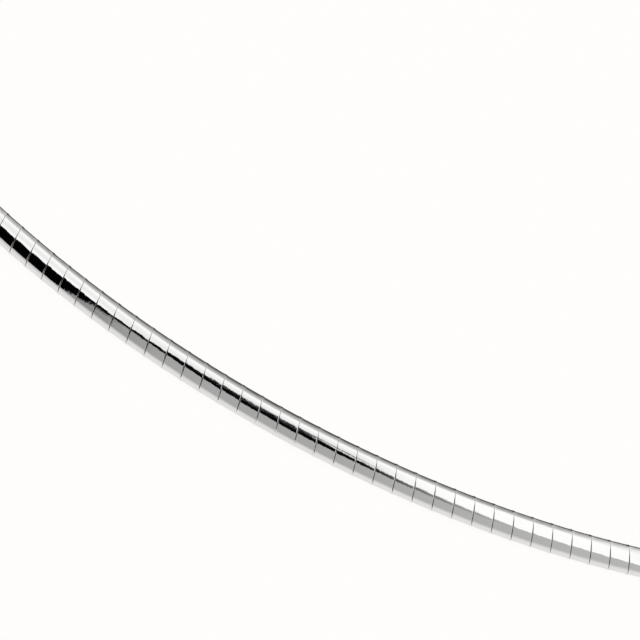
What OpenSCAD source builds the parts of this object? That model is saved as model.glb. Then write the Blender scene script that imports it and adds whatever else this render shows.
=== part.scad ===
// Omega necklace: a stiff collar of slanted, domed metal plates crimped on a flat mesh ribbon,
// closed at the back by a plain box clasp. It lies as it would on a table: the band stands on
// the lower edge of its back and leans inward. The front of the collar is at -Y, the clasp at +Y.

/* [Collar] */
// Radius of the collar, measured to the middle of the band
ring_r = 68.7; // [66:0.1:72.8]
// How far the band's face looks up from the horizontal, in degrees
face_tilt = 28; // [24:1:34]
// Lean of every seam from square to the chain, in degrees
seam_lean = 13.6; // [0:0.1:16]

/* [Plates] */
// Number of plates on each half of the collar
plates_per_side = 110; // [108:1:112]
// Width of a plate, across the chain
plate_w = 2.45; // [2.35:0.05:2.6]
// Height of the domed face above the plate's widest line
dome_h = 0.42; // [0.38:0.01:0.48]
// Fullness of the dome's shoulders: 2 is an ellipse, and more is squarer
dome_full = 2.3; // [2:0.1:2.6]
// Depth of the plate's sides below its widest line
side_h = 0.66; // [0.64:0.01:0.72]
// Sheet thickness of a plate
wall = 0.25; // [0.2:0.01:0.26]
// Radius lost at the folded edge behind the plate
fold_bevel = 0.16; // [0.1:0.02:0.2]
// Gap between the folded edges behind a plate, where the ribbon shows
back_slot = 0.9; // [0.7:0.1:1.1]
// Gap between one plate and the next
seam_gap = 0.13; // [0.12:0.01:0.16]

/* [Mesh ribbon] */
// Width of the woven ribbon inside the plates
ribbon_w = 1.64; // [1.4:0.02:1.64]
// Thickness of the woven ribbon
ribbon_t = 0.3; // [0.2:0.02:0.3]
// How far each end of the ribbon reaches into its end cap
ribbon_in_cap = 2.6; // [1.5:0.1:2.8]

/* [End caps and clasp] */
// Length of an end cap along the chain
cap_len = 4; // [3.6:0.2:5]
// Length of the clasp along the chain
clasp_len = 16; // [14:0.5:18]
// How far the caps and the clasp stand out past the plates, in width and in depth
collar_step = 0.3; // [0.2:0.05:0.4]
// Size of the cut along the long edges of the caps and the clasp
cap_bevel = 0.3; // [0.2:0.05:0.4]
// Width of the tongue that joins a cap to the clasp
tongue_w = 1.4; // [1:0.1:1.6]
// Thickness of the tongue
tongue_t = 0.5; // [0.4:0.05:0.6]
// How far the tongue reaches into the clasp
tongue_len = 2; // [1.5:0.1:3]
// Clearance left all round a piece that sits in another
fit_gap = 0.1; // [0.1:0.01:0.14]

/* [Hidden] */
$fn = 96;
dome_steps = 8;
front_angle = -90;
clasp_angle = 90;
// How far a cutting shape reaches past what it cuts
over_cut = 0.2;
half_w = plate_w / 2;
slot = back_slot / 2;
lean_run = tan(seam_lean);

// An arc length on the ring's middle line, turned into degrees
function arc_deg(length) = length / ring_r * 180 / PI;

// Half angles from the clasp's middle to the caps and to the plates; the plates fill the rest
cap_from = arc_deg(clasp_len / 2 + seam_gap);
plates_from = arc_deg(clasp_len / 2 + cap_len + 2 * seam_gap);
pitch_deg = (180 - plates_from) / plates_per_side;
pitch = pitch_deg * PI / 180 * ring_r;

// The cavity that the ribbon runs in, from its floor at the folded edges to its roof
cavity_w = plate_w - 2 * wall;
cavity_floor = wall - side_h;
cavity_roof = cavity_floor + ribbon_t + 2 * fit_gap;
ribbon_mid = (cavity_floor + cavity_roof) / 2;

// Outline of the plate's face, from its upper edge to its lower edge.
// The first number of a point runs outward from the face, the second across the chain.
dome_points = [for (i = [0 : dome_steps])
    let (a = 90 - 180 * i / dome_steps)
        [dome_h * full(cos(a)), half_w * sign(sin(a)) * full(sin(a))]];
function full(share) = pow(abs(share), 2 / dome_full);

// Outline of a plate: domed face, sides, folded edges and the cavity open at the back
plate_outline = concat(
    [[-side_h, slot], [-side_h, half_w - fold_bevel], [fold_bevel - side_h, half_w]],
    dome_points,
    [[fold_bevel - side_h, -half_w], [-side_h, fold_bevel - half_w], [-side_h, -slot]],
    [[cavity_floor, -slot], [cavity_floor, -cavity_w / 2], [cavity_roof, -cavity_w / 2]],
    [[cavity_roof, cavity_w / 2], [cavity_floor, cavity_w / 2], [cavity_floor, slot]]);

// A rectangle with cut corners, from its depth range, its width and the size of the cut
function bevelled(n0, n1, width, cut) = let (h = width / 2) [
    [n0, cut - h], [n0, h - cut], [n0 + cut, h], [n1 - cut, h],
    [n1, h - cut], [n1, cut - h], [n1 - cut, -h], [n0 + cut, -h]];
function box_outline(mid, thick, width) = let (t = thick / 2, h = width / 2) [
    [mid - t, -h], [mid - t, h], [mid + t, h], [mid + t, -h]];

// Height of an outline point in the leaning band, and of an outline's lowest point
function rise(p) = p[0] * sin(face_tilt) + p[1] * cos(face_tilt);
function lowest(outline) = min([for (p = outline) rise(p)]);

// The band rests at height zero on the lower fold behind its face, and so do the caps and clasp
band_z = -lowest(plate_outline);
cap_base = bevelled(-side_h - collar_step, dome_h + collar_step / 2, plate_w + collar_step, cap_bevel);
cap_shift = (lowest(plate_outline) - lowest(cap_base)) / cos(face_tilt);
cap_outline = [for (p = cap_base) [p[0], p[1] + cap_shift]];

// An outline point in the leaning band, turned into distance from the ring's axis and height
function in_band(p) = [
    ring_r + p[0] * cos(face_tilt) - p[1] * sin(face_tilt),
    band_z + rise(p)];

// An outline swept along the ring from one angle to another
module sweep(outline, from, to) {
    rotate([0, 0, from])
        rotate_extrude(angle = to - from)
            polygon([for (p = outline) in_band(p)]);
}

// Half the length of a plate at a place across the chain, so that seams keep an even width
function half_len(u) = (pitch * (1 - u * sin(face_tilt) / ring_r) - seam_gap) / 2;

// Moves a piece to an angle on the ring: its x runs outward, y along the chain, z across it
module on_ring(angle) {
    rotate([0, 0, angle])
        translate([ring_r, 0, band_z])
            rotate([0, -face_tilt, 0])
                children();
}

// A prism that runs straight through the band, from points along and across the chain
module through_band(points) {
    depth = 2 * (side_h + collar_step + dome_h);
    rotate([90, 0, 90])
        linear_extrude(height = depth, center = true)
            polygon(points);
}

// One plate at the origin, its ends cut along the leaning seams
module plate() {
    reach = half_w + over_cut;
    lean = lean_run * reach;
    intersection() {
        rotate([90, 0, 0])
            linear_extrude(height = 2 * pitch, center = true)
                polygon(plate_outline);
        through_band([
            [lean - half_len(-reach), -reach], [lean + half_len(-reach), -reach],
            [half_len(reach) - lean, reach], [-half_len(reach) - lean, reach]]);
    }
}

// A run of plates along the ring, starting at an angle
module plate_run(start) {
    for (i = [0 : plates_per_side - 1])
        on_ring(start + (i + 0.5) * pitch_deg)
            plate();
}

module plates_left() {
    color("silver") plate_run(clasp_angle + plates_from);
}

module plates_right() {
    color("gainsboro") plate_run(front_angle);
}

module mesh_ribbon() {
    from_clasp = arc_deg(clasp_len / 2 + seam_gap + cap_len - ribbon_in_cap);
    color("darkgray")
        sweep(box_outline(ribbon_mid, ribbon_t, ribbon_w),
            clasp_angle + from_clasp, clasp_angle + 360 - from_clasp);
}

// An outline swept away from the clasp's middle, on one side of it or the other
module side_sweep(side, outline, from, to) {
    if (side > 0)
        sweep(outline, from, to);
    else
        sweep(outline, -to, -from);
}

// A cap with a pocket for the ribbon, a mouth that leans as the seams do and a tongue for the clasp
module end_cap(side) {
    cap_to = cap_from + arc_deg(cap_len);
    pocket_from = cap_to - arc_deg(ribbon_in_cap + fit_gap);
    tongue_from = cap_from - arc_deg(tongue_len);
    reach = half_w + collar_step + over_cut;
    lean = lean_run * reach;
    run_on = arc_deg(lean + over_cut);
    rotate([0, 0, clasp_angle])
        difference() {
            union() {
                side_sweep(side, cap_outline, cap_from, cap_to + run_on);
                side_sweep(side, box_outline(ribbon_mid, tongue_t, tongue_w), tongue_from, cap_from + run_on);
            }
            side_sweep(side, box_outline(ribbon_mid, ribbon_t + 2 * fit_gap, ribbon_w + 2 * fit_gap),
                pocket_from, cap_to + 2 * run_on);
            on_ring(side * cap_to)
                through_band([
                    [lean, -reach], [side * cap_len, -reach],
                    [side * cap_len, reach], [-lean, reach]]);
        }
}

module end_cap_left() {
    color("lightgray") end_cap(1);
}

module end_cap_right() {
    color("lightgray") end_cap(-1);
}

module box_clasp() {
    half = arc_deg(clasp_len / 2);
    pocket_from = half - arc_deg(tongue_len);
    pocket_outline = box_outline(ribbon_mid, tongue_t + 2 * fit_gap, tongue_w + 2 * fit_gap);
    color("whitesmoke")
        rotate([0, 0, clasp_angle])
            difference() {
                sweep(cap_outline, -half, half);
                for (side = [-1, 1])
                    side_sweep(side, pocket_outline, pocket_from, 2 * half);
            }
}

plates_left();
plates_right();
mesh_ribbon();
end_cap_left();
end_cap_right();
box_clasp();
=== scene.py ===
# An omega necklace: slanted, domed metal plates on a woven ribbon, closed at the back by a box
# clasp, lying on a pale floor. The front of the collar is at -Y and the clasp at +Y.
# Lengths are in millimetres until a mesh or an object is made, which is in metres.
import math
import bpy
import numpy as np
from mathutils import Matrix, Vector


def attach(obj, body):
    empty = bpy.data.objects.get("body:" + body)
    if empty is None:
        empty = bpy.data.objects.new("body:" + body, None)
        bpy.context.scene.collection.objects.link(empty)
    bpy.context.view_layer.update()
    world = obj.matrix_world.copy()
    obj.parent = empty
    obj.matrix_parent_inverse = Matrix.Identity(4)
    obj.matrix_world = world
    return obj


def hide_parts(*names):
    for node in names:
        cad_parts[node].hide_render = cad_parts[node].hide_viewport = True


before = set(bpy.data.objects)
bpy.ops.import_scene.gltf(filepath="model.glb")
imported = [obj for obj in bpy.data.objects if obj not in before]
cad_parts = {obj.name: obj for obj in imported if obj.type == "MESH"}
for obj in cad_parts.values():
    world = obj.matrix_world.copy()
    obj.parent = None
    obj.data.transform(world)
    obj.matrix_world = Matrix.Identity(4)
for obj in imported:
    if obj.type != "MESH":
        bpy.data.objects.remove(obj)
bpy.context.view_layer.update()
MM = 0.001

# Collar: its radius to the middle of the band, how far the band's face looks up and how much the
# seams lean, and where on the ring its front and its clasp are
RING_R = 68.7
FACE_TILT = math.radians(28.0)
SEAM_LEAN = math.radians(13.6)
FRONT_ANGLE = math.radians(-90.0)
CLASP_ANGLE = math.radians(90.0)

# Plates: how many there are on each half of the collar, and how wide one is across the chain
PLATES_PER_SIDE = 110
PLATE_W = 2.45
# Height of the domed face, and its fullness: 2 is an ellipse, and more is squarer
DOME_H = 0.42
DOME_FULL = 2.3
DOME_STEPS = 11
# Under 1, the points of the dome crowd towards its tight shoulders
DOME_SPREAD = 0.6
# Depth of a plate's sides below its widest line
SIDE_H = 0.66
# Height of a row of points on the flat side, which keeps the shading even below it
SIDE_ROW = -0.18
# Sheet thickness, the fold behind a plate and the slot between its two folded edges
WALL = 0.25
FOLD_R = 0.21
FOLD_STEPS = 4
BACK_SLOT = 0.9

# How far the ends of a plate are rounded
END_ROUND = 0.024
# Steps in from the end of a plate where the rounding has a row of points, as shares of END_ROUND
END_STEPS = (0.0, 0.3, 1.0, 2.0)
# How much lower the ends lie than the plate's middle
CROWN = 0.008
# How far the corners flare out, beyond a share of half the plate's width
CORNER_FLARE = 0.055
FLARE_FROM = 0.8
FLARE_POWER = 8
# Shares of half a plate's length where its face has a row of points between its ends
MIDDLE_REACH = 0.75
MIDDLE_ROWS = 5

# Width of a seam, by the share of half the plate's width; seams close towards the upper edge
SEAM_WIDTHS = [(-0.1, 0.05), (0.5, 0.012), (0.85, 0.012), (0.98, 0.01)]

# How unevenly the plates sit: spread of their roll across the chain and their turn along it
ROLL_SPREAD = math.radians(0.25)
TURN_SPREAD = math.radians(0.3)
LEFT_SEED = 11
RIGHT_SEED = 12

# Ribbon, and how far it reaches into a cap
RIBBON_W = 1.64
RIBBON_T = 0.3
RIBBON_IN_CAP = 2.6
# Its strands: each crosses from edge to edge and back in one repeat, and is a diamond in section
STRANDS = 6
STRAND_REPEAT = 4.0
STRAND_STEPS = 36
STRAND_HALF_W = 0.17
STRAND_HALF_T = 0.062
# How high the side corners of a strand lie, as a share of half its thickness
STRAND_BELLY = 0.45
# Just under 1, the turns at the ribbon's edges are slightly rounded
TURN_SHARPNESS = 0.985
# How fast a strand changes between lying over its neighbours and under them
CROSS_SHARPNESS = 3
CROSS_PHASE = 0.25

# Caps and clasp, and the gap between them and before the plates
CAP_LEN = 4.0
CLASP_LEN = 16.0
CAP_GAP = 0.13
# How far they stand out past the plates, and how round their long edges and their ends are
COLLAR_STEP = 0.3
CAP_ROUND = 0.42
CAP_EDGE = 0.12
CAP_EDGE_STEPS = 3
# Rows of points between their rounded ends
CAP_ROWS = 4
CLASP_REACH = 0.85
CLASP_ROWS = 17
# The tongue that reaches from a cap into the clasp
TONGUE_W = 1.4
TONGUE_T = 0.5
TONGUE_LEN = 2.0
TONGUE_CUT = 0.08
# Rounding of the tongues and pockets, and the steps of any rounded corner
SLAB_ROUND = 0.06
CORNER_STEPS = 5
# Clearance all round a piece that sits in another
FIT_GAP = 0.1

# Camera, found from the photographed edge and seams of the collar: its elevation and azimuth are
# about the collar's middle, and its pan, dip and roll about itself
CAMERA_DISTANCE = 1500.0
CAMERA_ELEVATION = math.radians(29.10)
CAMERA_AZIMUTH = math.radians(0.841)
CAMERA_PAN = math.radians(-0.0095)
CAMERA_DIP = math.radians(-0.9601)
CAMERA_ROLL = math.radians(29.11)
CAMERA_NEAR = 100.0
CAMERA_FAR = 20000.0
FOCAL_PIXELS = 16898.0
IMAGE_PIXELS = 640
SENSOR = 36.0

HALF_W = PLATE_W / 2
SLOT = BACK_SLOT / 2
CAVITY_W = PLATE_W - 2 * WALL
CAVITY_FLOOR = WALL - SIDE_H
CAVITY_ROOF = CAVITY_FLOOR + RIBBON_T + 2 * FIT_GAP
RIBBON_MID = (CAVITY_FLOOR + CAVITY_ROOF) / 2
PLATES_FROM = (CLASP_LEN / 2 + CAP_LEN + 2 * CAP_GAP) / RING_R
PITCH_ANGLE = (math.pi - PLATES_FROM) / PLATES_PER_SIDE
PITCH = PITCH_ANGLE * RING_R
LEAN_RUN = math.tan(SEAM_LEAN)
TILT_SIN = math.sin(FACE_TILT)
TILT_COS = math.cos(FACE_TILT)
CAP_LOW = -SIDE_H - COLLAR_STEP
CAP_HIGH = DOME_H + COLLAR_STEP / 2
CAP_WIDTH = PLATE_W + COLLAR_STEP


def dome_half():
    """Points (out, across) of the dome from its upper edge to its middle."""
    points = []
    for i in range(DOME_STEPS + 1):
        turn = math.radians(90 - 90 * i / DOME_STEPS)
        a = math.atan2(math.sin(turn), DOME_SPREAD * math.cos(turn))
        out = DOME_H * abs(math.cos(a)) ** (2 / DOME_FULL)
        points.append((out, HALF_W * abs(math.sin(a)) ** (2 / DOME_FULL)))
    return points


def fold_half():
    """Points (out, across) from the slot behind the plate round the fold to the side."""
    points = [(-SIDE_H, SLOT), (-SIDE_H, (SLOT + HALF_W - FOLD_R) / 2)]
    for i in range(FOLD_STEPS + 1):
        a = math.pi / 2 * i / FOLD_STEPS
        points.append((-SIDE_H + FOLD_R * (1 - math.cos(a)), HALF_W - FOLD_R * (1 - math.sin(a))))
    points.append((SIDE_ROW, HALF_W))
    return points


def spread_along(corners, counts):
    """Points along a line with corners, a given number of steps between each pair."""
    points = [corners[0]]
    for start, end, count in zip(corners[:-1], corners[1:], counts):
        for i in range(1, count + 1):
            share = i / count
            points.append(tuple(s + (e - s) * share for s, e in zip(start, end)))
    return points


def mirrored(half):
    """A chain from the slot to the dome's middle, carried on to the other side."""
    other = [(out, -across) for out, across in reversed(half[:-1])]
    return np.array(half + other)


# The outer and the inner chain of a plate have the same number of points
OUTER = mirrored(fold_half() + dome_half())
INNER = mirrored(spread_along(
    [(CAVITY_FLOOR, SLOT), (CAVITY_FLOOR, CAVITY_W / 2), (CAVITY_ROOF, CAVITY_W / 2), (CAVITY_ROOF, 0)],
    [2, FOLD_STEPS + 1, DOME_STEPS + 1]))


def chain_normals(chain):
    """Unit normals of an open chain of (out, across) points, pointing away from its inside."""
    step = np.gradient(chain, axis=0)
    normal = np.stack([step[:, 1], -step[:, 0]], axis=1)
    normal *= np.sign(normal[len(chain) // 2, 0])
    return normal / np.linalg.norm(normal, axis=1, keepdims=True)


def rise(points):
    """Height of (out, across) points in the leaning band."""
    return points[..., 0] * TILT_SIN + points[..., 1] * TILT_COS


BAND_Z = -rise(OUTER).min()


def to_world(out, across, along, angle):
    """Points of the band in metres: along runs counter-clockwise from the place at angle."""
    radius = RING_R + out * TILT_COS - across * TILT_SIN
    height = BAND_Z + out * TILT_SIN + across * TILT_COS
    x = radius * np.cos(angle) - along * np.sin(angle)
    y = radius * np.sin(angle) + along * np.cos(angle)
    return np.stack(np.broadcast_arrays(x, y, height), axis=-1) * MM


def new_piece(name, points, faces, material, sharp=40.0, local=None):
    """A mesh piece from points and faces, which stands for the node of its name.

    Where local is given, its rows (along, across, tag) go with the points for the material. The
    tag sets the marks on one plate apart from those on the next.
    """
    mesh = bpy.data.meshes.new(name)
    mesh.from_pydata(points.reshape(-1, 3).tolist(), [], faces)
    mesh.validate()
    mesh.shade_smooth()
    mesh.set_sharp_from_angle(angle=math.radians(sharp))
    if local is not None:
        stored = mesh.attributes.new("piece_place", "FLOAT_VECTOR", "POINT")
        stored.data.foreach_set("vector", local.reshape(-1, 3).astype(np.float32).ravel())
    mesh.materials.append(material)
    piece = bpy.data.objects.new(name, mesh)
    bpy.context.scene.collection.objects.link(piece)
    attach(piece, "root")
    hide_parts(name)


def strip(first, second, closed=False):
    """Quads between two rows of point numbers."""
    count = len(first)
    pairs = [(i, i + 1) for i in range(count - 1)]
    if closed:
        pairs.append((count - 1, 0))
    return [(first[i], first[j], second[j], second[i]) for i, j in pairs]


def end_stations():
    """Stations along a plate: share of its half length, step in from there, drop of the edge."""
    rows = []
    for inward in END_STEPS:
        left = max(0.0, 1.0 - inward)
        rows.append((inward * END_ROUND, END_ROUND * (1 - math.sqrt(1 - left * left))))
    front = [(-1.0, step, drop) for step, drop in rows]
    middle = [(share, 0.0, 0.0) for share in np.linspace(-MIDDLE_REACH, MIDDLE_REACH, MIDDLE_ROWS)]
    back = [(1.0, -step, drop) for step, drop in reversed(rows)]
    return np.array(front + middle + back)


STATIONS = end_stations()


def half_length(across):
    """Half the length of a plate at a place across the chain."""
    gap = np.interp(across / HALF_W, *zip(*SEAM_WIDTHS))
    return (PITCH * (1 - across * TILT_SIN / RING_R) - gap) / 2


def plate_points(roll, turn):
    """One plate's outer points by station, and its inner points at its two ends."""
    out, across = OUTER[:, 0], OUTER[:, 1]
    normal = chain_normals(OUTER)
    half = half_length(across)
    along = STATIONS[:, 0:1] * half + STATIONS[:, 1:2]
    drop = STATIONS[:, 2:3] + CROWN * (along / half) ** 2
    near_edge = np.clip((np.abs(across) / HALF_W - FLARE_FROM) / (1 - FLARE_FROM), 0, 1) ** 2
    near_end = np.abs(along / half) ** FLARE_POWER
    lift = CORNER_FLARE * near_edge * near_end * (out > -SIDE_H / 2)
    moved_out = out + (lift - drop) * normal[:, 0]
    moved_across = across + (lift - drop) * normal[:, 1]
    rolled_out = moved_out - roll * moved_across + turn * along
    rolled_across = moved_across + roll * moved_out
    outer = (rolled_out, rolled_across, along - LEAN_RUN * across)
    inner_half = half_length(INNER[:, 1])
    inner_along = np.array([[-1.0], [1.0]]) * inner_half - LEAN_RUN * INNER[:, 1]
    inner_out = np.broadcast_to(INNER[:, 0], inner_along.shape)
    inner_across = np.broadcast_to(INNER[:, 1], inner_along.shape)
    return outer, (inner_out, inner_across, inner_along)


def plate_faces():
    """Faces of one plate, for points in the order of plate_points, and the number of its points."""
    stations, count = len(STATIONS), len(OUTER)
    outer = np.arange(stations * count).reshape(stations, count)
    inner = stations * count + np.arange(2 * count).reshape(2, count)
    faces = []
    for i in range(stations - 1):
        faces += strip(outer[i], outer[i + 1])
    faces += strip(inner[1], inner[0])
    faces += strip(inner[0], outer[0])
    faces += strip(outer[-1], inner[1])
    faces.append((inner[0][0], *outer[:, 0], inner[1][0]))
    faces.append((inner[1][-1], *outer[::-1, -1], inner[0][-1]))
    return faces, (stations + 2) * count


def plate_run(name, start, material, seed):
    """All the plates of one half of the collar, as one piece."""
    random = np.random.default_rng(seed)
    faces, count = plate_faces()
    all_points, all_places, all_faces = [], [], []
    for i in range(PLATES_PER_SIDE):
        roll, turn = random.normal(0, 1, 2) * (ROLL_SPREAD, TURN_SPREAD)
        angle = start + (i + 0.5) * PITCH_ANGLE
        for out, across, along in plate_points(roll, turn):
            all_points.append(to_world(out, across, along, angle).reshape(-1, 3))
            tag = np.full(out.shape, random.uniform(0, 1))
            all_places.append(np.stack([along, across, tag], axis=-1).reshape(-1, 3))
        all_faces += [tuple(int(v) + i * count for v in face) for face in faces]
    new_piece(name, np.concatenate(all_points), all_faces, material,
        local=np.concatenate(all_places))


def zigzag(phase):
    """Runs from -1 to 1 and back over one turn of phase, with slightly rounded ends."""
    return np.arcsin(TURN_SHARPNESS * np.sin(2 * np.pi * phase)) / np.arcsin(TURN_SHARPNESS)


def braid(name, material):
    """The woven ribbon: flat strands that cross from edge to edge, over one and under the next."""
    from_clasp = (CLASP_LEN / 2 + CAP_GAP + CAP_LEN - RIBBON_IN_CAP + 2 * FIT_GAP) / RING_R
    first, last = CLASP_ANGLE + from_clasp, CLASP_ANGLE + 2 * math.pi - from_clasp
    length = (last - first) * RING_R
    repeats = round(length / STRAND_REPEAT)
    steps = repeats * STRAND_STEPS
    turns = np.linspace(0, repeats, steps + 1)
    angle = first + (last - first) * turns / repeats
    reach = RIBBON_W / 2 - STRAND_HALF_W
    diamond = [(1, 0), (STRAND_BELLY, 1), (-1, 0), (STRAND_BELLY, -1)]
    points, faces = [], []
    for k in range(STRANDS):
        phase = turns + k / STRANDS
        across = reach * zigzag(phase)
        slope = np.gradient(across, turns * length / repeats)
        rising = np.tanh(CROSS_SHARPNESS * np.cos(2 * np.pi * phase))
        over = np.cos(2 * np.pi * STRANDS * (phase + CROSS_PHASE)) * rising
        middle = RIBBON_MID + (RIBBON_T / 2 - STRAND_HALF_T) * over
        side = 1 / np.hypot(1, slope)
        corners = []
        for out_share, side_share in diamond:
            out = middle + STRAND_HALF_T * out_share
            sideways = STRAND_HALF_W * side_share * side
            corners.append(to_world(out, across + sideways, -sideways * slope, angle))
        points.append(np.stack(corners, axis=1).reshape(-1, 3))
        base = k * (steps + 1) * len(diamond)
        numbers = base + np.arange((steps + 1) * len(diamond)).reshape(-1, len(diamond))
        for i in range(steps):
            faces += strip(numbers[i].tolist(), numbers[i + 1].tolist(), closed=True)
        faces.append(tuple(numbers[0][::-1].tolist()))
        faces.append(tuple(numbers[-1].tolist()))
    new_piece(name, np.concatenate(points), faces, material, sharp=70.0)


def rounded_box(low, high, width, radius):
    """Outline of a box with round corners, as (out, across) points, from its depth and width."""
    points = []
    corners = [(high, 1, 0.0), (low, 1, 90.0), (low, -1, 180.0), (high, -1, 270.0)]
    for depth, side, start in corners:
        inward = -1 if depth == high else 1
        for i in range(CORNER_STEPS + 1):
            a = math.radians(start + 90 * i / CORNER_STEPS)
            out = depth + inward * radius + radius * math.cos(a)
            across = side * (width / 2 - radius) + radius * math.sin(a)
            points.append((out, across))
    return np.array(points)


def loft(name, rings, material):
    """A closed piece through rings of (outline, angle, lean share); each ring leans by its share."""
    points, places = [], []
    for outline, angle, lean in rings:
        out, across = outline[:, 0], outline[:, 1]
        radius = RING_R + out * TILT_COS - across * TILT_SIN
        shift = np.arcsin(-LEAN_RUN * across * lean / radius)
        points.append(to_world(out, across, 0.0, angle + shift))
        along = (angle + shift) * RING_R
        places.append(np.stack(np.broadcast_arrays(along, across, 0.5), axis=-1))
    count = len(rings[0][0])
    numbers = np.arange(len(rings) * count).reshape(len(rings), count).tolist()
    faces = []
    for first, second in zip(numbers[:-1], numbers[1:]):
        faces += strip(first, second, closed=True)
    faces += [tuple(numbers[0][::-1]), tuple(numbers[-1])]
    if rings[-1][1] < rings[0][1]:
        faces = [tuple(reversed(face)) for face in faces]
    new_piece(name, np.concatenate(points), faces, material, local=np.concatenate(places))


def cap_outline(inset=0.0):
    """Outline of a cap or of the clasp, shifted so that it rests on the floor."""
    full = rounded_box(CAP_LOW, CAP_HIGH, CAP_WIDTH, CAP_ROUND)
    shift = (-BAND_Z - rise(full).min()) / TILT_COS
    outline = rounded_box(CAP_LOW + inset, CAP_HIGH - inset, CAP_WIDTH - 2 * inset, CAP_ROUND - inset)
    return outline + np.array([0.0, shift])


def slab_outline(thick, width):
    """Outline of the ribbon's pocket, of a tongue or of a tongue's pocket."""
    return rounded_box(RIBBON_MID - thick / 2, RIBBON_MID + thick / 2, width, SLAB_ROUND)


def edge_rings(angle, inward, lean):
    """Rings that round off the edge of a cap's end; inward is the way into the cap."""
    rings = []
    for i in range(CAP_EDGE_STEPS + 1):
        a = math.pi / 2 * i / CAP_EDGE_STEPS
        inset = CAP_EDGE * (1 - math.sin(a))
        step = CAP_EDGE * (1 - math.cos(a)) * inward / RING_R
        rings.append((cap_outline(inset), angle + step, lean))
    return rings


def end_cap(name, side, material):
    """A cap with a tongue towards the clasp and a pocket for the ribbon in its leaning mouth."""
    def at(distance):
        return CLASP_ANGLE + side * distance

    start = (CLASP_LEN / 2 + CAP_GAP) / RING_R
    mouth = start + CAP_LEN / RING_R
    tongue = slab_outline(TONGUE_T, TONGUE_W)
    tip = slab_outline(TONGUE_T - 2 * TONGUE_CUT, TONGUE_W - 2 * TONGUE_CUT)
    pocket = slab_outline(RIBBON_T + 2 * FIT_GAP, RIBBON_W + 2 * FIT_GAP)
    rings = [(tip, at(start - TONGUE_LEN / RING_R), 0.0)]
    rings.append((tongue, at(start - (TONGUE_LEN - TONGUE_CUT) / RING_R), 0.0))
    rings.append((tongue, at(start), 0.0))
    rings += edge_rings(at(start), side, 0.0)
    for i in range(1, CAP_ROWS):
        share = i / CAP_ROWS
        rings.append((cap_outline(), at(start + (mouth - start) * share), share))
    rings += reversed(edge_rings(at(mouth), -side, 1.0))
    rings.append((pocket, at(mouth), 1.0))
    rings.append((pocket, at(mouth - (RIBBON_IN_CAP + FIT_GAP) / RING_R), 0.0))
    loft(name, rings, material)


def box_clasp(name, material):
    """The plain box clasp with a pocket for a tongue at each end."""
    half = CLASP_LEN / 2 / RING_R
    deep = half - (TONGUE_LEN - CAP_GAP + FIT_GAP) / RING_R
    pocket = slab_outline(TONGUE_T + 2 * FIT_GAP, TONGUE_W + 2 * FIT_GAP)
    rings = [(pocket, CLASP_ANGLE - deep, 0.0), (pocket, CLASP_ANGLE - half, 0.0)]
    rings += edge_rings(CLASP_ANGLE - half, 1, 0.0)
    for share in np.linspace(-CLASP_REACH, CLASP_REACH, CLASP_ROWS):
        rings.append((cap_outline(), CLASP_ANGLE + share * half, 0.0))
    rings += reversed(edge_rings(CLASP_ANGLE + half, -1, 0.0))
    rings += [(pocket, CLASP_ANGLE + half, 0.0), (pocket, CLASP_ANGLE + deep, 0.0)]
    loft(name, rings, material)


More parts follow.
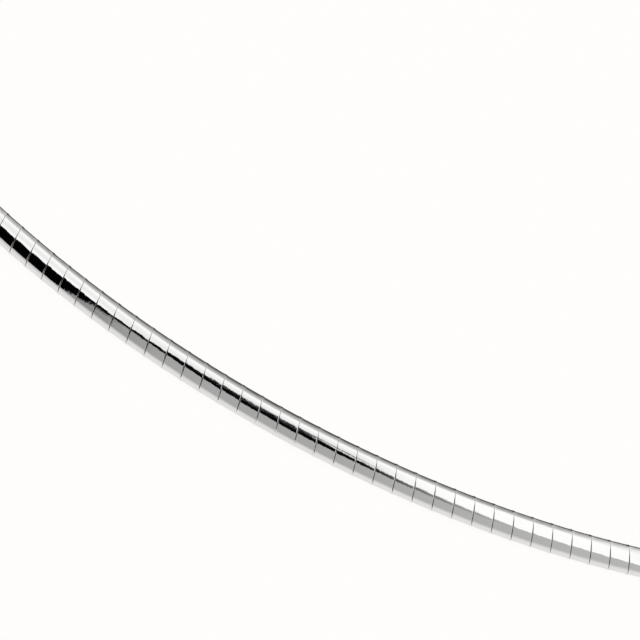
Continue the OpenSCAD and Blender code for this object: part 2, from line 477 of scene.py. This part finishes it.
class Tree:
    """Short ways to add and join shader nodes."""

    def __init__(self, tree):
        self.tree = tree

    def add(self, kind, **settings):
        """A new node with some of its settings."""
        node = self.tree.nodes.new(kind)
        for key, value in settings.items():
            setattr(node, key, value)
        return node

    def put(self, socket, value):
        """Links an output to a socket, or sets the socket to a plain value."""
        if isinstance(value, bpy.types.NodeSocket):
            self.tree.links.new(value, socket)
        elif value is not None:
            socket.default_value = value

    def calc(self, operation, first, second=None, third=None):
        """The result of one step of arithmetic."""
        node = self.add("ShaderNodeMath", operation=operation)
        for socket, value in zip(node.inputs, (first, second, third)):
            self.put(socket, value)
        return node.outputs[0]

    def product(self, first, *others):
        """All the values multiplied together."""
        for other in others:
            first = self.calc("MULTIPLY", first, other)
        return first

    def fade(self, value, start, end, low=0.0, high=1.0):
        """A smooth step from low at start to high at end."""
        node = self.add("ShaderNodeMapRange", interpolation_type="SMOOTHSTEP")
        for name, given in zip(("Value", "From Min", "From Max", "To Min", "To Max"),
                (value, start, end, low, high)):
            self.put(node.inputs[name], given)
        return node.outputs[0]

    def mix(self, share, first, second):
        """A number between two numbers."""
        node = self.add("ShaderNodeMix", data_type="FLOAT")
        for socket, value in zip(node.inputs[:4], (share, None, first, second)):
            self.put(socket, value)
        return node.outputs[0]

    def blend(self, share, first, second):
        """A colour between two colours."""
        node = self.add("ShaderNodeMix", data_type="RGBA")
        self.put(node.inputs[0], share)
        self.put(node.inputs[6], first)
        self.put(node.inputs[7], second)
        return node.outputs[2]

    def noise(self, place, scale, detail=2.0, rough=0.5):
        """Noise between 0 and 1 over a place or a direction."""
        node = self.add("ShaderNodeTexNoise")
        self.put(node.inputs["Vector"], place)
        self.put(node.inputs["Scale"], scale)
        self.put(node.inputs["Detail"], detail)
        self.put(node.inputs["Roughness"], rough)
        return node.outputs["Fac"]

    def bump(self, height, distance, strength=1.0, normal=None):
        """A normal that is tilted by a height; distance is in millimetres."""
        node = self.add("ShaderNodeBump")
        self.put(node.inputs["Strength"], strength)
        self.put(node.inputs["Distance"], distance * MM)
        self.put(node.inputs["Height"], height)
        self.put(node.inputs["Normal"], normal)
        return node.outputs[0]

    def curve(self, value, points):
        """A smooth curve through (value, result) points, worked out over their own range."""
        low, high = points[0][0], points[-1][0]
        share = self.calc("DIVIDE", self.calc("SUBTRACT", value, low), high - low)
        node = self.add("ShaderNodeFloatCurve")
        line = node.mapping.curves[0]
        top = max(result for _, result in points)
        spots = [((at - low) / (high - low), result / top) for at, result in points]
        line.points[0].location = spots[0]
        for spot in spots[1:-1]:
            line.points.new(*spot)
        line.points[-1].location = spots[-1]
        node.mapping.update()
        self.put(node.inputs["Value"], share)
        return self.calc("MULTIPLY", node.outputs[0], top)


def new_material(name):
    """A new material with a principled shader, its tree and that shader."""
    material = bpy.data.materials.new(name)
    material.use_nodes = True
    material.node_tree.nodes.clear()
    tree = Tree(material.node_tree)
    shader = tree.add("ShaderNodeBsdfPrincipled")
    output = tree.add("ShaderNodeOutputMaterial")
    tree.put(output.inputs["Surface"], shader.outputs[0])
    return material, tree, shader


# Noises over piece_place: their scales, in cycles for each millimetre, and what they change
WAVE_SCALE = 3.0
SMUDGE_SCALE = 0.9
SMUDGE_DARK = (0.97, 0.97, 0.96)
SMUDGE_LIGHT = (1.03, 1.03, 1.02)
SCRATCH_SCALES = (1.5, 40.0, 9.0)
SCRATCH_NOISE = (0.35, 0.75)
SCRATCH_SMOOTH = 0.7
SCRATCH_ROUGH = 1.5
# Where the painted shade on the upper edge of a plate begins and is full, as shares of half the plate's
# width
RIM_SHADE_FROM = 0.93
RIM_SHADE_TO = 0.965


def metal(name, grey, rough, wave, grain, rim_shade_grey=None):
    """Polished metal: faint waves of the pressed sheet, fine polishing lines and soft smudges.

    Where a rim grey is given, the upper edge is darkened to that grey as painted shade.
    """
    material, tree, shader = new_material(name)
    shader.inputs["Metallic"].default_value = 1.0
    place = tree.add("ShaderNodeAttribute", attribute_name="piece_place").outputs["Vector"]
    waves = tree.noise(place, WAVE_SCALE, detail=3.0, rough=0.45)
    lines = tree.add("ShaderNodeMapping")
    lines.inputs["Scale"].default_value = SCRATCH_SCALES
    tree.put(lines.inputs["Vector"], place)
    scratches = tree.noise(lines.outputs[0], 1.0, detail=3.0, rough=0.6)
    smudges = tree.noise(place, SMUDGE_SCALE, detail=3.0)
    darker = (*(grey * share for share in SMUDGE_DARK), 1)
    lighter = (*(grey * share for share in SMUDGE_LIGHT), 1)
    colour = tree.blend(smudges, darker, lighter)
    # Painted shade: the base colour darkens to the rim grey along the plate's upper edge only
    if rim_shade_grey is not None:
        split = tree.add("ShaderNodeSeparateXYZ")
        tree.put(split.inputs[0], place)
        painted_rim_shade = tree.fade(split.outputs[1], RIM_SHADE_FROM * HALF_W, RIM_SHADE_TO * HALF_W)
        colour = tree.blend(painted_rim_shade, colour, (rim_shade_grey, rim_shade_grey, rim_shade_grey, 1))
    tree.put(shader.inputs["Base Color"], colour)
    roughness = tree.fade(scratches, *SCRATCH_NOISE, rough * SCRATCH_SMOOTH, rough * SCRATCH_ROUGH)
    tree.put(shader.inputs["Roughness"], roughness)
    wavy = tree.bump(waves, wave)
    tree.put(shader.inputs["Normal"], tree.bump(scratches, grain, normal=wavy))
    return material


# The ribbon's wire: scales in cycles for each millimetre, colours, and the grain's depth in
# millimetres
WIRE_GRAIN_SCALE = 9.0
WIRE_PATCH_SCALE = 0.4
WIRE_DARK = (0.52, 0.52, 0.53, 1)
WIRE_LIGHT = (0.72, 0.72, 0.72, 1)
WIRE_GRAIN_NOISE = (0.3, 0.7)
WIRE_ROUGHNESS = (0.22, 0.4)
WIRE_GRAIN_DEPTH = 0.01
WIRE_GRAIN_STRENGTH = 0.6


def wire_metal():
    """The satin wire of the ribbon, with darker and lighter patches."""
    material, tree, shader = new_material("satin_wire")
    shader.inputs["Metallic"].default_value = 1.0
    place = tree.add("ShaderNodeTexCoord").outputs["Object"]
    grain = tree.noise(place, WIRE_GRAIN_SCALE / MM, detail=3.0)
    patches = tree.noise(place, WIRE_PATCH_SCALE / MM)
    tree.put(shader.inputs["Base Color"], tree.blend(patches, WIRE_DARK, WIRE_LIGHT))
    tree.put(shader.inputs["Roughness"], tree.fade(grain, *WIRE_GRAIN_NOISE, *WIRE_ROUGHNESS))
    tree.put(shader.inputs["Normal"], tree.bump(grain, WIRE_GRAIN_DEPTH, WIRE_GRAIN_STRENGTH))
    return material


# The studio is what the polished metal mirrors. Places in it are in degrees: the lift is how far a
# mirrored direction rises from the front horizon, the side is how far it lies to the right of the
# front, and a pair (start, end) says where something fades in or out.

# How bright the soft lamp overhead is, by the lift
LAMP_LIGHT = [
    (28, 1.04), (36, 1.04), (40, 1.08), (45, 1.15), (51, 1.21), (54, 1.12), (57, 0.84), (60, 0.71),
    (66, 0.59), (70, 0.52), (75, 0.44), (80, 0.37), (85, 0.29), (92, 0.2), (100, 0.15), (180, 0.15)]
# The lamp gets deeper past these sides, by this much a degree, and by no more than the limit
RIGHT_END_FROM = 4.0
RIGHT_END_RATE = 0.25
LEFT_END_FROM = -20.0
LEFT_END_RATE = -0.36
DEEPER_LIMIT = 14.0
# The right end is the brightest, below a lift
RIGHT_GLOW_SIDE = (14, 34)
RIGHT_GLOW_LIFT = (56, 50)
RIGHT_GLOW_LIGHT = 1.235
# The lamp's front edge, which lies higher on the left and most so at the far left
LAMP_EDGE = 28.6
EDGE_BLUR = 0.6
EDGE_RISE_SIDE = (-8, -18)
FAR_LEFT_RISE = 0.0037
FAR_LEFT_LIMIT = 4.0
# A glare along that edge on the left
GLARE_SIDE = (-20, -32)
GLARE_OVER_EDGE = (9, 1)
GLARE_LIGHT = 0.2

# How bright the grey wall below the lamp is, by the side
WALL_LIGHT = [
    (-40, 0.33), (-30, 0.34), (-24, 0.38), (-20, 0.41), (-16, 0.45), (-8, 0.472), (8, 0.478),
    (20, 0.508), (36, 0.54), (52, 0.57), (90, 0.6)]
# Streaks on the wall, faint at the right of these sides and strong at the left
STREAK_SCALE = 45.0
STREAK_SIDE = (-14, -28)
STREAK_SHARES = (0.04, 0.7)

# The dark gap below the lamp: its lower edge, which drops between two sides, and its right end
GAP_LOW = 24.4
GAP_DROP = 1.5
GAP_DROP_LEFT = (-26, 0)
GAP_DROP_RIGHT = (14, 10)
GAP_END = (42, 14)
GAP_BLUR = 0.4
# Stands of the studio raise the gap's upper edge between two sides, and that edge is a little
# higher again to the right of a third side
STANDS_LEFT = (-26, 0)
STANDS_RIGHT = (22, 17)
STAND_RISE = 5.2
STAND_EXTRA = 1.5
STAND_EXTRA_SIDE = (3, 9)
# How ragged that edge is everywhere, and by how much more at the stands
RAGGED_SCALE = 32.0
RAGGED_ALL = 2.0
RAGGED_STANDS = 14.0
# Light that glints through the stands
GLINT_SCALE = 120.0
GLINT_NOISE = (0.54, 0.7)
GLINT_OVER_EDGE = (-1.5, 3.0)
GLINT_MOST = 0.5
# Towards the right the stands thin out over the lamp's edge and leave one cable
THIN_SIDE = (5.5, 11)
THIN_OVER_EDGE = (0.9, 2.1)
THIN_MOST = 0.85
CABLE_LIFT = 33.2
CABLE_WIDTH = (1.5, 0.5)
CABLE_END = (19, 13)
CABLE_SHARES = (0.25, 0.75)

# A dark hanging on the left: its hem curves up to a highest side, and is torn around that side
HANGING_END = (-18.6, -19.6)
HEM_TOP = 26.0
HEM_TOP_SIDE = -24.6
HEM_CURVE = -0.36
HEM_BLUR = 0.8
TORN_LEFT = (-36, -27.6)
TORN_RIGHT = (-19.6, -25.6)
TORN_SCALE = 60.0
TORN_DEPTH = 45.0
TORN_BLUR = 2.0
# What the darkest parts still give off
DARK_LIGHT = 0.001

# How bright the studio is at the sides and behind, by the height above the horizon
ROUND_LIGHT = [
    (0, 0.46), (20, 0.5), (24.6, 0.52), (25.4, 0.03), (28.2, 0.03), (29, 0.98), (45, 1.1), (54, 1.0),
    (60, 0.78), (66, 0.56), (74, 0.38), (82, 0.27), (90, 0.2)]
ROUND_SIDE = (58, 74)
# A grey card straight behind, darker at its top
CARD_SIDE = (152, 164)
CARD_HEIGHT = (0, 70)
CARD_LIGHT = 0.42
CARD_TOP_LIGHT = 0.14
# What the camera sees of the world itself
SKY_SHOWN = 0.985


def centred_noise(tree, direction, scale, detail, rough):
    """Noise that is as often below 0 as above it."""
    return tree.calc("SUBTRACT", tree.noise(direction, scale, detail, rough), 0.5)


def lamp_light(tree, lift, side, left_depth, over_edge):
    """How bright the lamp is."""
    past_right = tree.calc("MAXIMUM", tree.calc("SUBTRACT", side, RIGHT_END_FROM), 0.0)
    right_depth = tree.calc("MULTIPLY", past_right, RIGHT_END_RATE)
    deeper = tree.calc("MINIMUM", tree.calc("ADD", right_depth, left_depth), DEEPER_LIMIT)
    level = tree.calc("SUBTRACT", lift, deeper)
    lamp = tree.curve(level, LAMP_LIGHT)
    glowing = tree.product(tree.fade(side, *RIGHT_GLOW_SIDE), tree.fade(level, *RIGHT_GLOW_LIFT))
    lamp = tree.mix(glowing, lamp, tree.calc("MAXIMUM", lamp, RIGHT_GLOW_LIGHT))
    glare = tree.fade(over_edge, *GLARE_OVER_EDGE, 0.0, GLARE_LIGHT)
    return tree.calc("ADD", lamp, tree.product(tree.fade(side, *GLARE_SIDE), glare))


def wall_light(tree, direction, side):
    """How bright the grey wall is."""
    wall = tree.curve(side, WALL_LIGHT)
    streaks = centred_noise(tree, direction, STREAK_SCALE, detail=3.0, rough=0.6)
    streaks = tree.product(streaks, tree.fade(side, *STREAK_SIDE, *STREAK_SHARES))
    return tree.calc("MULTIPLY_ADD", wall, streaks, wall)


def gap_share(tree, direction, lift, side, raised, edge, over_edge):
    """How dark the gap below the lamp makes a direction, with the stands that rise from it."""
    stands = tree.product(tree.fade(side, *STANDS_LEFT), tree.fade(side, *STANDS_RIGHT))
    ragged = centred_noise(tree, direction, RAGGED_SCALE, detail=6.0, rough=0.75)
    ragged_depth = tree.calc("MULTIPLY_ADD", stands, RAGGED_STANDS, RAGGED_ALL)
    top = tree.calc("MULTIPLY_ADD", stands, STAND_RISE, edge)
    top = tree.calc("ADD", top, tree.fade(side, *STAND_EXTRA_SIDE, 0.0, STAND_EXTRA))
    top = tree.calc("MULTIPLY_ADD", ragged, ragged_depth, top)
    under_top = tree.fade(tree.calc("SUBTRACT", lift, top), GAP_BLUR, -GAP_BLUR)
    dropped = tree.product(tree.fade(side, *GAP_DROP_LEFT), tree.fade(side, *GAP_DROP_RIGHT))
    low = tree.calc("ADD", tree.calc("MULTIPLY_ADD", dropped, -GAP_DROP, GAP_LOW), raised)
    over_low = tree.fade(tree.calc("SUBTRACT", lift, low), -GAP_BLUR, GAP_BLUR)
    glints = tree.product(
        tree.fade(tree.noise(direction, GLINT_SCALE, rough=0.6), *GLINT_NOISE),
        stands, tree.fade(over_edge, *GLINT_OVER_EDGE, 0.0, GLINT_MOST))
    from_cable = tree.calc("ABSOLUTE", tree.calc("SUBTRACT", lift, CABLE_LIFT))
    cable = tree.product(tree.fade(from_cable, *CABLE_WIDTH), tree.fade(side, *CABLE_END, *CABLE_SHARES))
    thinned = tree.product(
        tree.fade(side, *THIN_SIDE), tree.fade(over_edge, *THIN_OVER_EDGE, 0.0, THIN_MOST),
        tree.calc("SUBTRACT", 1.0, cable))
    kept = tree.calc("SUBTRACT", 1.0, tree.calc("MAXIMUM", glints, thinned))
    return tree.product(under_top, over_low, tree.fade(side, *GAP_END), kept)


def hanging_share(tree, direction, lift, side, over_edge):
    """How dark the torn hanging makes a direction."""
    torn = centred_noise(tree, direction, TORN_SCALE, detail=3.0, rough=0.6)
    from_top = tree.calc("MINIMUM", tree.calc("SUBTRACT", side, HEM_TOP_SIDE), 0.0)
    hem = tree.calc("MULTIPLY_ADD", tree.product(from_top, from_top), HEM_CURVE, HEM_TOP)
    tear = tree.product(tree.fade(side, *TORN_LEFT), tree.fade(side, *TORN_RIGHT))
    hem = tree.calc("MULTIPLY_ADD", tree.product(torn, tear), TORN_DEPTH, hem)
    blur = tree.calc("MULTIPLY_ADD", tear, TORN_BLUR, HEM_BLUR)
    over_hem = tree.fade(tree.calc("DIVIDE", tree.calc("SUBTRACT", lift, hem), blur), -1, 1)
    under_lamp = tree.fade(over_edge, GAP_BLUR, -GAP_BLUR)
    return tree.product(tree.fade(side, *HANGING_END), under_lamp, over_hem)


def light_around(tree, turned, height):
    """How bright the studio is at the sides and behind; turned is the side without its sign."""
    light = tree.curve(tree.calc("MAXIMUM", height, 0.0), ROUND_LIGHT)
    card = tree.fade(height, *CARD_HEIGHT, CARD_LIGHT, CARD_TOP_LIGHT)
    return tree.mix(tree.fade(turned, *CARD_SIDE), light, card)


def studio():
    """Soft light from a large overhead source, with the dark gaps round it that a studio has."""
    world = bpy.data.worlds.new("studio")
    bpy.context.scene.world = world
    world.use_nodes = True
    world.node_tree.nodes.clear()
    tree = Tree(world.node_tree)
    split = tree.add("ShaderNodeSeparateXYZ")
    direction = tree.add("ShaderNodeTexCoord").outputs["Generated"]
    tree.put(split.inputs[0], direction)
    x, y, z = split.outputs
    ahead = tree.calc("MULTIPLY", y, -1.0)
    lift = tree.calc("DEGREES", tree.calc("ARCTAN2", z, ahead))
    side = tree.calc("DEGREES", tree.calc("ARCTAN2", x, ahead))
    turned = tree.calc("ABSOLUTE", side)
    height = tree.calc("DEGREES", tree.calc("ARCSINE", z))
    past_left = tree.calc("MINIMUM", tree.calc("SUBTRACT", side, LEFT_END_FROM), 0.0)
    left_depth = tree.calc("MULTIPLY", past_left, LEFT_END_RATE)
    far_left = tree.calc("MULTIPLY", tree.calc("POWER", left_depth, 3.0), FAR_LEFT_RISE)
    far_left = tree.calc("MINIMUM", far_left, FAR_LEFT_LIMIT)
    raised = tree.calc("ADD", far_left, tree.fade(side, *EDGE_RISE_SIDE))
    edge = tree.calc("ADD", raised, LAMP_EDGE)
    over_edge = tree.calc("SUBTRACT", lift, edge)
    lamp = lamp_light(tree, lift, side, left_depth, over_edge)
    wall = wall_light(tree, direction, side)
    light = tree.mix(tree.fade(over_edge, -EDGE_BLUR, EDGE_BLUR), wall, lamp)
    gap = gap_share(tree, direction, lift, side, raised, edge, over_edge)
    hanging = hanging_share(tree, direction, lift, side, over_edge)
    front_light = tree.mix(tree.calc("MAXIMUM", gap, hanging), light, DARK_LIGHT)
    seen = tree.mix(tree.fade(turned, *ROUND_SIDE), front_light, light_around(tree, turned, height))
    background = tree.add("ShaderNodeBackground")
    background.inputs["Color"].default_value = (1, 1, 1, 1)
    camera_ray = tree.add("ShaderNodeLightPath").outputs["Is Camera Ray"]
    tree.put(background.inputs["Strength"], tree.mix(camera_ray, seen, SKY_SHOWN))
    output = tree.add("ShaderNodeOutputWorld")
    tree.put(output.inputs["Surface"], background.outputs[0])


# How bright the table glows in the metal's reflections, a painted pool of light round the collar, by its
# distance in millimetres from the collar's axis
TABLE_LIGHT = [
    (0, 0.94), (69.5, 0.94), (71, 0.92), (72.3, 0.86), (75, 0.76), (81, 0.67), (95, 0.61), (120, 0.57),
    (200, 0.53)]
# The part of that brightness that comes from the studio's light on the table
TABLE_BOUNCE = 0.1
# How bright the table's own glow is for the camera
TABLE_SHOWN = 0.898
TABLE_COLOUR = (0.12, 0.118, 0.117, 1)
TABLE_GLOW_COLOUR = (1.0, 0.985, 0.975, 1)
TABLE_ROUGHNESS = 0.9
TABLE_HALF = 4000.0
# The table's grain: its scale, in cycles for each millimetre, and its depth in millimetres
PAPER_SCALE = 0.9
PAPER_DEPTH = 0.02


def floor():
    """A wide pale table top, evenly bright for the camera, with a painted pool of light round the collar
    that only the metal's reflections see.
    """
    half = TABLE_HALF * MM
    mesh = bpy.data.meshes.new("floor")
    corners = [(-half, -half, 0), (half, -half, 0), (half, half, 0), (-half, half, 0)]
    mesh.from_pydata(corners, [], [(0, 1, 2, 3)])
    material, tree, shader = new_material("pale_paper")
    place = tree.add("ShaderNodeTexCoord").outputs["Object"]
    shader.inputs["Base Color"].default_value = TABLE_COLOUR
    shader.inputs["Roughness"].default_value = TABLE_ROUGHNESS
    shader.inputs["Emission Color"].default_value = TABLE_GLOW_COLOUR
    away = tree.add("ShaderNodeVectorMath", operation="LENGTH")
    tree.put(away.inputs[0], place)
    distance = tree.calc("DIVIDE", away.outputs["Value"], MM)
    # Painted pool of light: for glossy rays the table glows brighter near the collar and dimmer away
    # from it
    mirrored_light = tree.curve(tree.calc("MINIMUM", distance, TABLE_LIGHT[-1][0]), TABLE_LIGHT)
    glossy_ray = tree.add("ShaderNodeLightPath").outputs["Is Glossy Ray"]
    glow = tree.mix(glossy_ray, TABLE_SHOWN, tree.calc("SUBTRACT", mirrored_light, TABLE_BOUNCE))
    tree.put(shader.inputs["Emission Strength"], glow)
    grain = tree.noise(place, PAPER_SCALE / MM, detail=4.0)
    tree.put(shader.inputs["Normal"], tree.bump(grain, PAPER_DEPTH))
    mesh.materials.append(material)
    table = bpy.data.objects.new("floor", mesh)
    bpy.context.scene.collection.objects.link(table)


def camera():
    """A long lens that looks down on the front of the collar, turned as the photograph is."""
    ahead = Vector((0, math.cos(CAMERA_ELEVATION), -math.sin(CAMERA_ELEVATION)))
    right = Vector((1, 0, 0))
    up = right.cross(ahead)
    place = -ahead * CAMERA_DISTANCE * MM
    ahead = (ahead + math.tan(CAMERA_PAN) * right + math.tan(CAMERA_DIP) * up).normalized()
    right = ahead.cross(Vector((0, 0, 1))).normalized()
    up = right.cross(ahead)
    turned_right = math.cos(CAMERA_ROLL) * right + math.sin(CAMERA_ROLL) * up
    turned_up = turned_right.cross(ahead)
    round_collar = Matrix.Rotation(CAMERA_AZIMUTH, 4, "Z")
    pose = Matrix((turned_right, turned_up, -ahead)).transposed().to_4x4()
    pose.translation = place + Vector((0, 0, BAND_Z * MM))
    data = bpy.data.cameras.new("camera")
    data.sensor_width = SENSOR
    data.lens = FOCAL_PIXELS / IMAGE_PIXELS * SENSOR
    data.clip_start = CAMERA_NEAR * MM
    data.clip_end = CAMERA_FAR * MM
    eye = bpy.data.objects.new("camera", data)
    eye.matrix_world = round_collar @ pose
    bpy.context.scene.collection.objects.link(eye)
    bpy.context.scene.camera = eye


bpy.context.scene.view_settings.view_transform = "Standard"
camera()
studio()
floor()
# The plates' upper edges get a painted shade of grey 0.14
plate_metal = metal("polished_plate", grey=0.80, rough=0.03, wave=0.003, grain=0.00006, rim_shade_grey=0.14)
cap_metal = metal("polished_cap", grey=0.80, rough=0.07, wave=0.002, grain=0.0001)
plate_run("plates_left", CLASP_ANGLE + PLATES_FROM, plate_metal, LEFT_SEED)
plate_run("plates_right", FRONT_ANGLE, plate_metal, RIGHT_SEED)
braid("mesh_ribbon", wire_metal())
end_cap("end_cap_left", 1, cap_metal)
end_cap("end_cap_right", -1, cap_metal)
box_clasp("box_clasp", cap_metal)
bpy.context.view_layer.update()
